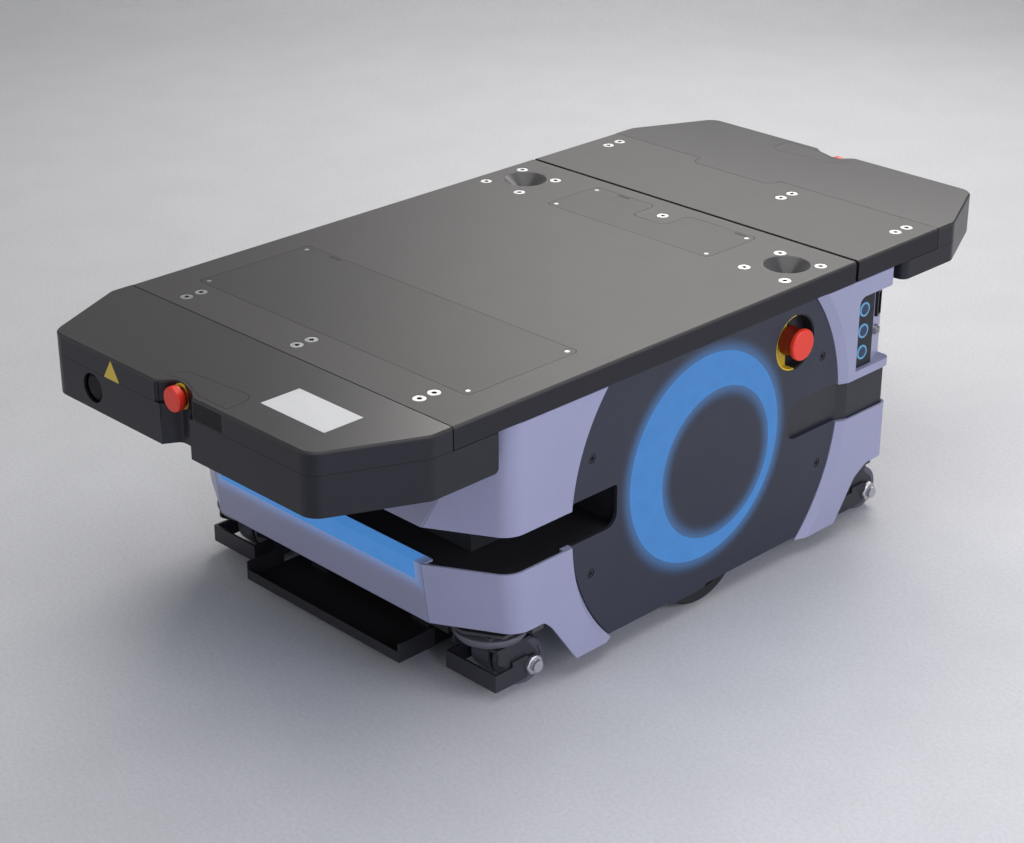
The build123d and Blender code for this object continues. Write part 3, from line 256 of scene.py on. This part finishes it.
def button_ring_look():
    """Softly lit rings around the panel buttons."""
    look = Look("ring_light", roughness=0.35)
    look.colour((0.02, 0.08, 0.14, 1))
    ripple = look.noise(0.004, detail=2.0)
    look.glow(look.mix(ripple, (0.06, 0.17, 0.30, 1), (0.12, 0.30, 0.46, 1)))
    return look.material


def rubber_look(name, colour, roughness):
    look = moulded(name, colour, roughness, grain=0.0016, depth=0.00006, tone=0.15, specular=0.3)
    return look.material


def stop_red_look():
    """Bright mushroom heads; the side stops' necks, deep in their collars, get a dark red painted
    shade.
    """
    look = moulded("stop_red", (0.80, 0.040, 0.018), 0.32, grain=0.0009, depth=0.00001)
    base = look.shader.inputs["Base Color"].links[0].from_socket
    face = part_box("left_stop_button")[1].x
    out = look.math("ABSOLUTE", look.axis("X"))
    neck_shade = look.remap(out, face - NECK_SHADE_BAND[0], face - NECK_SHADE_BAND[1], 1, 0)
    on_side = look.remap(out, face - SIDE_STOP_BAND[0], face - SIDE_STOP_BAND[1], 0, 1)
    # Dark red painted shade on the side stops' necks.
    look.colour(look.mix(look.math("MULTIPLY", neck_shade, on_side), base, (0.16, 0.010, 0.006, 1)))
    return look.material


def stop_yellow_look():
    """Yellow collar; on the side collars only the front half is yellow."""
    look = moulded("stop_yellow", (0.80, 0.56, 0.03), 0.40, grain=0.0009, depth=0.00001)
    base = look.shader.inputs["Base Color"].links[0].from_socket
    low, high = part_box("left_stop_button")
    across = look.math("SUBTRACT", look.axis("Y"), (low.y + high.y) / 2)
    black = look.remap(across, 0.0, 0.0004, 0, 1)
    on_side = look.remap(look.math("ABSOLUTE", look.axis("X")), *SIDE_COLLAR_BAND, 0, 1)
    look.colour(look.mix(look.math("MULTIPLY", black, on_side), base, BLACK_PLASTIC))
    return look.material


def zinc(name):
    return metal(name, (0.52, 0.52, 0.52), 0.36)


def deck_screw_look():
    """Plated screw heads with painted shade in their hexagon sockets."""
    look = zinc("zinc_deck_screws_shaded_sockets")
    base = look.shader.inputs["Base Color"].links[0].from_socket
    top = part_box("deck_screws")[1].z
    socket = look.remap(look.axis("Z"), top - SOCKET_SHADE_BAND[0], top - SOCKET_SHADE_BAND[1], 1, 0)
    # Near-black painted shade in the sockets.
    look.colour(look.mix(socket, base, (0.015, 0.015, 0.015, 1)))
    return look.material


def connector_look():
    """Plated round connector below, black plastic port above."""
    look = zinc("connector_metal")
    base = look.shader.inputs["Base Color"].links[0].from_socket
    plated = look.remap(look.axis("Z"), PORT_LOW, PORT_LOW + 0.001, 1, 0)
    look.colour(look.mix(plated, (0.006, 0.006, 0.007, 1), base))
    look.feed(look.shader.inputs["Metallic"], plated)
    return look.material


def fork_look():
    """Dark pressed steel with plated nuts, bolt ends and a lighter swivel crown."""
    look = moulded("fork_paint", (0.020, 0.020, 0.027), 0.42)
    base = look.shader.inputs["Base Color"].links[0].from_socket
    low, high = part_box("front_left_caster_fork")
    middle, out = (low.x + high.x) / 2, (high.x - low.x) / 2
    from_middle = look.math("SUBTRACT", look.math("ABSOLUTE", look.axis("X")), middle)
    across = look.math("ABSOLUTE", from_middle)
    plated = look.remap(across, out - NUT_BAND[0], out - NUT_BAND[1], 0, 1)
    below_crown = look.remap(look.axis("Z"), *NUTS_BELOW, 1, 0)
    plated = look.math("MULTIPLY", plated, below_crown)
    crown = look.remap(look.axis("Z"), *CROWN_BAND, 0, 1)
    base = look.mix(crown, base, (0.11, 0.11, 0.13, 1))
    look.colour(look.mix(plated, base, (0.60, 0.60, 0.62, 1)))
    look.feed(look.shader.inputs["Metallic"], plated)
    return look.material


def plain_look(name, colour, roughness):
    return moulded(name, colour, roughness).material


# The last colour of each deck look is the painted shade on its sides.
DECK = deck_look("deck_coat", 1.0, (0.008, 0.008, 0.012, 1))
COVER = deck_look("deck_cover_coat_shaded_sides", 0.84, (0.03, 0.028, 0.027, 1))
CAP = deck_look("cap_dark", 0.90, (0.013, 0.013, 0.018, 1), roughness=0.32)
SHELL = shell_look("shell_light", False)
SHELL_LIT = shell_look("shell_light_spill", True)
PANEL = panel_look()
LIGHT = light_look()
BLACK = plain_look("bay_black", (0.012, 0.012, 0.014), 0.6)
BAND = plain_look("band_dark", (0.018, 0.018, 0.025), 0.42)
FRAME = plain_look("frame_paint", (0.05, 0.05, 0.055), 0.5)
MATTE = plain_look("matte_black", (0.004, 0.004, 0.005), 0.8)
CAST = metal("cast_alloy", (0.48, 0.49, 0.50), 0.5).material
RED = stop_red_look()
YELLOW = stop_yellow_look()
TYRE = rubber_look("tyre_rubber", (0.022, 0.022, 0.023), 0.75)
CASTER_TREAD = rubber_look("caster_tread", (0.10, 0.10, 0.125), 0.5)
FORK = fork_look()
TRAY = plain_look("tray_paint", (0.014, 0.014, 0.015), 0.5)
SCREW_BLACK = metal("screw_black", (0.06, 0.06, 0.07), 0.35).material

CASTER_NAMES = ("front_left", "front_right", "rear_left", "rear_right")
looks = {
    DECK: ["deck_plate", "rear_strip_plate"],
    COVER: ["front_deck_cover", "rear_deck_cover"],
    CAP: ["front_cap_upper", "front_cap_lower", "rear_cap_upper", "rear_cap_lower",
          "service_hatches"],
    SHELL: ["front_upper_shell", "front_upper_corners", "rear_upper_corner_left",
            "rear_upper_corner_right", "rear_lower_corners", "rear_centre_covers"],
    SHELL_LIT: ["front_lower_shell", "front_lower_corners"],
    PANEL: ["side_panel_left", "side_panel_right"],
    LIGHT: ["light_rings", "front_light_strip"],
    BLACK: ["scanner_bay", "laser_scanner"],
    BAND: ["rear_mid_band"],
    FRAME: ["chassis_frame", "lift_frame", "control_computer", "battery_pack"],
    plain_look("gloss_black", (0.004, 0.006, 0.012), 0.45): ["operator_panel"],
    MATTE: ["sensor_window", "cap_sensor"],
    plain_look("button_blue", (0.010, 0.035, 0.085), 0.35): [
        "upper_panel_button", "middle_panel_button", "lower_panel_button"],
    button_ring_look(): ["button_rings"],
    connector_look(): ["panel_connectors"],
    deck_screw_look(): ["deck_screws", "strip_screws"],
    CAST: ["drive_units", "lift_columns", "lift_actuator"],
    RED: ["left_stop_button", "right_stop_button", "front_stop_button", "rear_stop_button"],
    YELLOW: ["stop_collars"],
    TYRE: ["drive_wheel_left", "drive_wheel_right"],
    CASTER_TREAD: [name + "_caster_wheel" for name in CASTER_NAMES],
    FORK: [name + "_caster_fork" for name in CASTER_NAMES],
    TRAY: ["front_tray"],
    SCREW_BLACK: ["panel_screws"],
    plain_look("screen_white", (0.64, 0.64, 0.64), 0.34): ["touch_screen"],
    plain_look("cup_paint", (0.070, 0.067, 0.067), 0.30): ["locating_cups"],
}
for material, names in looks.items():
    for name in names:
        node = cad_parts[name]
        node.data.materials.clear()
        node.data.materials.append(material)


# ---- small pieces --------------------------------------------------------------
def piece_from(name, mesh, material, body):
    """Make a piece from a bmesh and let it ride on a body."""
    data = bpy.data.meshes.new(name)
    mesh.to_mesh(data)
    mesh.free()
    data.materials.append(material)
    piece = bpy.data.objects.new(name, data)
    bpy.context.scene.collection.objects.link(piece)
    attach(piece, body)
    return piece


def rounded_outline(corners, radius, steps=4):
    """Corner points in order, each rounded by an arc."""
    points = []
    count = len(corners)
    for i, corner in enumerate(corners):
        before = (corners[i - 1] - corner).normalized()
        after = (corners[(i + 1) % count] - corner).normalized()
        openness = (before - after).length / 2 / ((before + after).length / 2)
        reach = radius / max(1e-6, openness)
        start, end = corner + before * reach, corner + after * reach
        for step in range(steps + 1):
            t = step / steps
            points.append((1 - t) ** 2 * start + 2 * t * (1 - t) * corner + t ** 2 * end)
    return points


def plate(points, push):
    """A closed plate from an outline, thickened along push."""
    mesh = bmesh.new()
    face = mesh.faces.new([mesh.verts.new(p) for p in points])
    moved = bmesh.ops.extrude_face_region(mesh, geom=[face])
    top = [v for v in moved["geom"] if isinstance(v, bmesh.types.BMVert)]
    bmesh.ops.translate(mesh, verts=top, vec=push)
    bmesh.ops.recalc_face_normals(mesh, faces=mesh.faces)
    return mesh


def warning_triangle():
    """Plain yellow triangle on the nose of the front cap."""
    y = NOSE_Y + 0.0002
    base_z = 0.458 + 0.0018
    corners = [Vector((-0.148, y, 0.490)), Vector((-0.167, y, base_z)), Vector((-0.130, y, base_z))]
    mesh = plate(rounded_outline(corners, 0.0012), Vector((0, -0.0005, 0)))
    yellow = plain_look("label_yellow", (0.66, 0.48, 0.05), 0.4)
    piece_from("warning_triangle", mesh, yellow, "chassis")


def finger_slot_shades():
    """Short black plates near the covers' rear edges: painted shade standing in for finger slots.
    """
    front_low, front_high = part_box("front_deck_cover")
    rear_low, rear_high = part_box("rear_deck_cover")
    inset, half, wide = 0.006, 0.0125, 0.0022
    z = DECK_TOP + 0.0001
    places = [(front_low.x + 0.075, front_high.y - inset), (rear_low.x + 0.07, rear_high.y - inset),
              (rear_high.x - 0.03, rear_high.y - inset)]
    for i, (x, y) in enumerate(places):
        corners = [Vector((x - half, y - wide, z)), Vector((x + half, y - wide, z)),
                   Vector((x + half, y + wide, z)), Vector((x - half, y + wide, z))]
        mesh = plate(rounded_outline(corners, wide * 0.9), Vector((0, 0, -0.0006)))
        # Black plate: painted shade of a finger slot.
        piece_from(f"shaded_cover_slot_{i}", mesh, BLACK, "lift_deck")


warning_triangle()
finger_slot_shades()


# ---- studio ----------------------------------------------------------------------
def studio_floor():
    """Pale floor that curves up into a wall behind the object."""
    mesh = bmesh.new()
    depth, height, curve, half = 3.2, 3.4, 1.4, 9.0
    profile = [(-8.0, 0.0), (depth, 0.0)]
    for step in range(1, 11):
        turn = radians(9 * step)
        profile.append((depth + curve * sin(turn), curve - curve * cos(turn)))
    profile.append((depth + curve, height))
    away = radians(45.45)       # the wall stands across the camera's direction
    along = Vector((-sin(away), cos(away), 0))
    across = Vector((along.y, -along.x, 0))
    rows = []
    for d, z in profile:
        up = Vector((0, 0, z))
        rows.append([mesh.verts.new(along * d + across * side * half + up) for side in (-1, 1)])
    for a, b in zip(rows, rows[1:]):
        face = mesh.faces.new([a[0], a[1], b[1], b[0]])
        face.smooth = True
    bmesh.ops.recalc_face_normals(mesh, faces=mesh.faces)
    data = bpy.data.meshes.new("studio_floor")
    mesh.to_mesh(data)
    mesh.free()
    floor = bpy.data.objects.new("studio_floor", data)
    bpy.context.scene.collection.objects.link(floor)
    look = moulded("studio_floor", (0.62, 0.62, 0.63), 0.55, grain=0.004, depth=0.00002, tone=0.02)
    data.materials.append(look.material)


def area_light(name, place, target, size, watts, colour=(1, 1, 1)):
    """A rectangular light at a place, turned towards a target."""
    data = bpy.data.lights.new(name, "AREA")
    data.shape = "RECTANGLE"
    data.size, data.size_y = size
    data.energy = watts
    data.color = colour
    light = bpy.data.objects.new(name, data)
    light.location = place
    light.rotation_euler = (Vector(target) - Vector(place)).to_track_quat("-Z", "Y").to_euler()
    bpy.context.scene.collection.objects.link(light)


def studio():
    studio_floor()
    area_light("key", (-1.4, 2.6, 2.6), (0, 0.1, 0.4), (2.6, 1.6), 75, (1.0, 0.98, 0.95))
    area_light("side", (3.4, 0.9, 1.6), (0, 0, 0.3), (2.2, 1.8), 55, (0.86, 0.88, 1.0))
    area_light("front", (-0.6, -3.6, 1.5), (0, -0.4, 0.35), (2.2, 1.6), 16, (0.90, 0.92, 1.0))
    area_light("corner", (2.9, -1.6, 0.9), (0.33, -0.65, 0.45), (0.35, 1.6), 22, (0.72, 0.75, 1.0))
    area_light("top", (0.4, -0.2, 3.4), (0, 0, 0), (3.0, 3.0), 50)
    world = bpy.data.worlds.new("studio")
    world.use_nodes = True
    world.node_tree.nodes["Background"].inputs[0].default_value = (0.85, 0.87, 0.92, 1)
    world.node_tree.nodes["Background"].inputs[1].default_value = 0.28
    bpy.context.scene.world = world
    bpy.context.scene.view_settings.view_transform = "Standard"


def camera():
    data = bpy.data.cameras.new("camera")
    data.lens = 77.4
    data.sensor_width = 36.0
    eye = bpy.data.objects.new("camera", data)
    eye.location = (2.310, -2.358, 1.7415)
    forward = Vector((-0.6457, 0.6357, -0.4231))
    eye.rotation_euler = forward.to_track_quat("-Z", "Y").to_euler()
    bpy.context.scene.collection.objects.link(eye)
    bpy.context.scene.camera = eye


studio()
camera()
